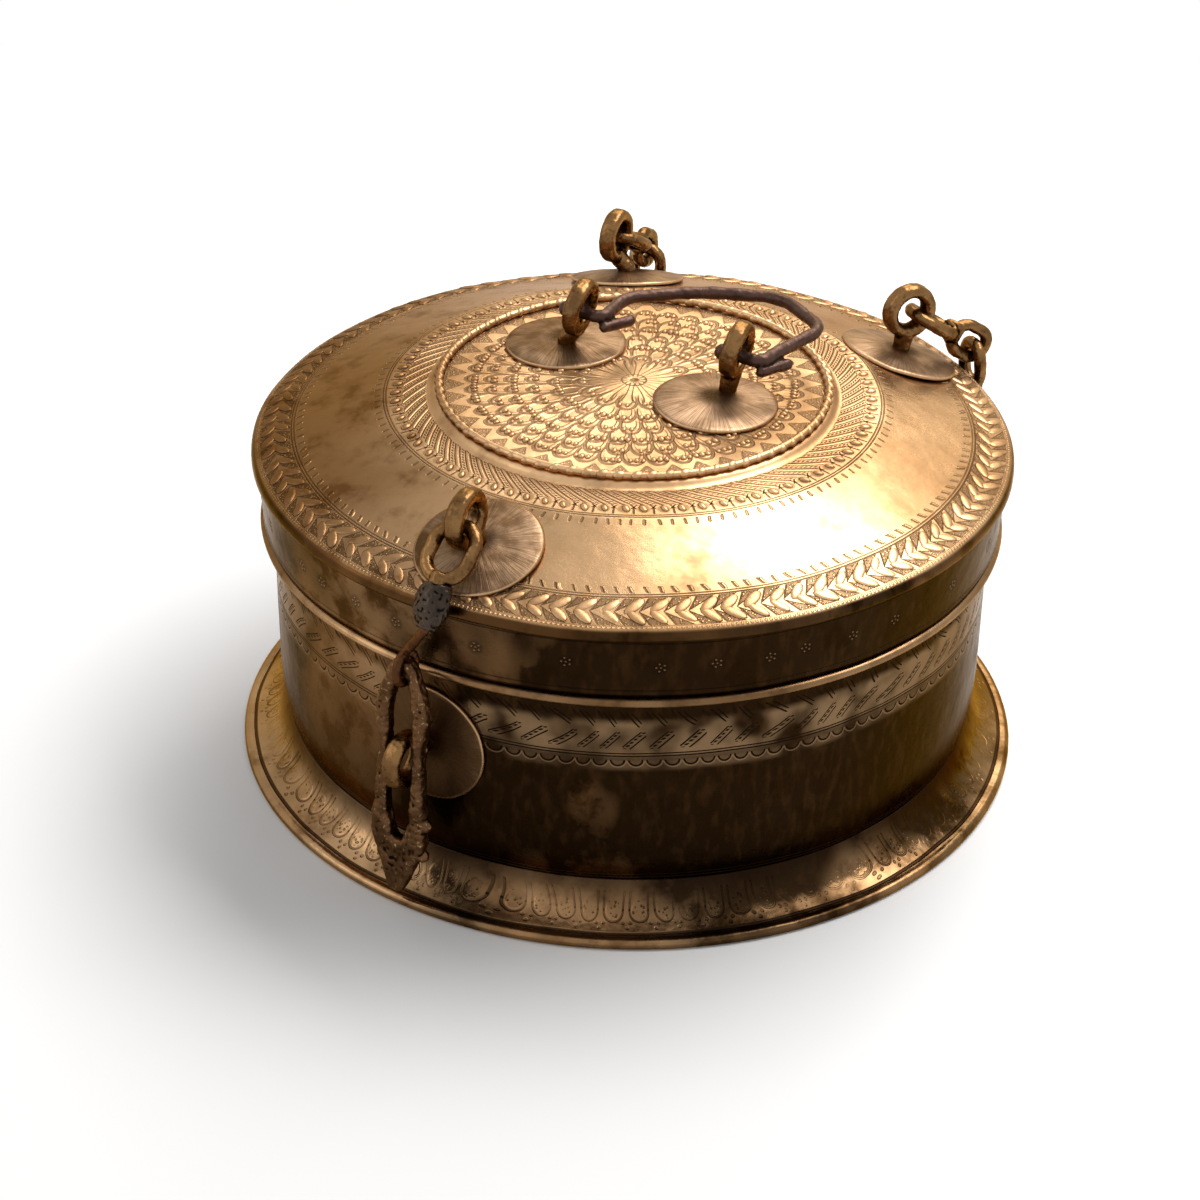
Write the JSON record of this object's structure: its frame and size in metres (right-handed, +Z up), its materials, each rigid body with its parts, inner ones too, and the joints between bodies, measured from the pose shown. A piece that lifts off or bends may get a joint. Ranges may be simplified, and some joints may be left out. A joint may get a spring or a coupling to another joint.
{
  "type": "paan box",
  "caption": "Round chased-brass paan box: flared foot, domed lid hinged on forged chains, wire bail, hasp hanging over a staple, small cups inside",
  "frame": {"origin": "centre of the foot, on the surface the box stands on", "axes": "+Z up the box's axis; the hasp hangs at -Y, the hinges are at +Y, +X is to the right seen from the hasp"},
  "size_m": [0.2752, 0.2842, 0.1632],
  "materials": {
    "brass_sheet": "chased sheet brass, worn and unevenly tarnished",
    "washer_brass": "filed sheet brass with brown tarnish",
    "fitting_brass": "forged brass, dark in the hollows",
    "cup_brass": "plain spun brass",
    "rim_wire_iron": "iron wire",
    "bail_iron": "forged iron wire, brown and smooth from handling",
    "hook_iron": "rusted iron wire",
    "hasp_bronze": "rough cast and filed, dark with worn edges",
    "solder": "grey soft solder, matt"
  },
  "bodies": {
    "box": {"drum_wall": "brass_sheet", "foot_ring": "brass_sheet", "foot_rim_wire": "rim_wire_iron", "floor_plate": "brass_sheet", "shoulder_bead": "brass_sheet", "neck_collar": "brass_sheet", "hasp_staple": "fitting_brass", "hasp_staple_washer": "washer_brass", "hinge_staple_right": "fitting_brass", "hinge_staple_washer_right": "washer_brass", "hinge_staple_left": "fitting_brass", "hinge_staple_washer_left": "washer_brass"},
    "lid": {"lid_top": "brass_sheet", "lid_skirt": "brass_sheet", "medallion_ring": "brass_sheet", "front_eye": "fitting_brass", "front_eye_washer": "washer_brass", "hinge_eye_right": "fitting_brass", "hinge_eye_washer_right": "washer_brass", "hinge_eye_left": "fitting_brass", "hinge_eye_washer_left": "washer_brass", "handle_eye_left": "fitting_brass", "handle_eye_washer_left": "washer_brass", "handle_eye_right": "fitting_brass", "handle_eye_washer_right": "washer_brass"},
    "upper_link_right": {"hinge_link_upper_right": "fitting_brass"},
    "lower_link_right": {"hinge_link_lower_right": "fitting_brass"},
    "upper_link_left": {"hinge_link_upper_left": "fitting_brass"},
    "lower_link_left": {"hinge_link_lower_left": "fitting_brass"},
    "bail": {"bail_handle": "bail_iron"},
    "hasp_link": {"hasp_ring": "fitting_brass", "neck_wrap": "solder", "hasp_hook": "hook_iron"},
    "hasp": {"hasp": "hasp_bronze"},
    "cup_middle": {"cup_middle": "cup_brass"},
    "cup_1": {"cup_1": "cup_brass"},
    "cup_2": {"cup_2": "cup_brass"},
    "cup_3": {"cup_3": "cup_brass"},
    "cup_4": {"cup_4": "cup_brass"},
    "cup_5": {"cup_5": "cup_brass"},
    "cup_6": {"cup_6": "cup_brass"}
  },
  "joints": [
    {"name": "lid_hinge", "type": "hinge", "parent": "box", "child": "lid", "pos_m": [0.0047, 0.11712, 0.064], "axis": [-0.9992, 0.0401, 0], "range_deg": [0, 100]},
    {"name": "upper_link_right_rock", "type": "hinge", "parent": "lid", "child": "upper_link_right", "pos_m": [0.05949, 0.0909, 0.1406], "axis": [0.4591, 0.7016, -0.5449], "range_deg": [-4, 4]},
    {"name": "lower_link_right_rock", "type": "hinge", "parent": "lid", "child": "lower_link_right", "pos_m": [0.0748, 0.1143, 0.064], "axis": [-0.019, -0.029, 0.9994], "range_deg": [-4, 4]},
    {"name": "upper_link_left_rock", "type": "hinge", "parent": "lid", "child": "upper_link_left", "pos_m": [-0.06151, 0.0892, 0.14003], "axis": [-0.1294, 0.8568, -0.4991], "range_deg": [-4, 4]},
    {"name": "lower_link_left_rock", "type": "hinge", "parent": "lid", "child": "lower_link_left", "pos_m": [-0.06539, 0.11993, 0.064], "axis": [-0.0066, -0.0409, 0.9991], "range_deg": [-4, 4]},
    {"name": "bail_lift", "type": "hinge", "parent": "lid", "child": "bail", "pos_m": [-0.02773, 0.00953, 0.15035], "axis": [1, 0.0001, 0.008], "range_deg": [-3, 150]},
    {"name": "hasp_link_swing", "type": "hinge", "parent": "lid", "child": "hasp_link", "pos_m": [0.00851, -0.11322, 0.13895], "axis": [-0.9972, -0.075, 0], "range_deg": [0, 100]},
    {"name": "hasp_swing", "type": "hinge", "parent": "hasp_link", "child": "hasp", "pos_m": [0.00193, -0.13799, 0.0955], "axis": [-0.9999, -0.014, 0], "range_deg": [-4, 110]},
    {"name": "cup_middle_lift", "type": "slide", "parent": "box", "child": "cup_middle", "axis": [0, 0, 1], "range_m": [0, 0.04]},
    {"name": "cup_1_lift", "type": "slide", "parent": "box", "child": "cup_1", "axis": [0, 0, 1], "range_m": [0, 0.04]},
    {"name": "cup_2_lift", "type": "slide", "parent": "box", "child": "cup_2", "axis": [0, 0, 1], "range_m": [0, 0.04]},
    {"name": "cup_3_lift", "type": "slide", "parent": "box", "child": "cup_3", "axis": [0, 0, 1], "range_m": [0, 0.04]},
    {"name": "cup_4_lift", "type": "slide", "parent": "box", "child": "cup_4", "axis": [0, 0, 1], "range_m": [0, 0.04]},
    {"name": "cup_5_lift", "type": "slide", "parent": "box", "child": "cup_5", "axis": [0, 0, 1], "range_m": [0, 0.04]},
    {"name": "cup_6_lift", "type": "slide", "parent": "box", "child": "cup_6", "axis": [0, 0, 1], "range_m": [0, 0.04]}
  ]
}
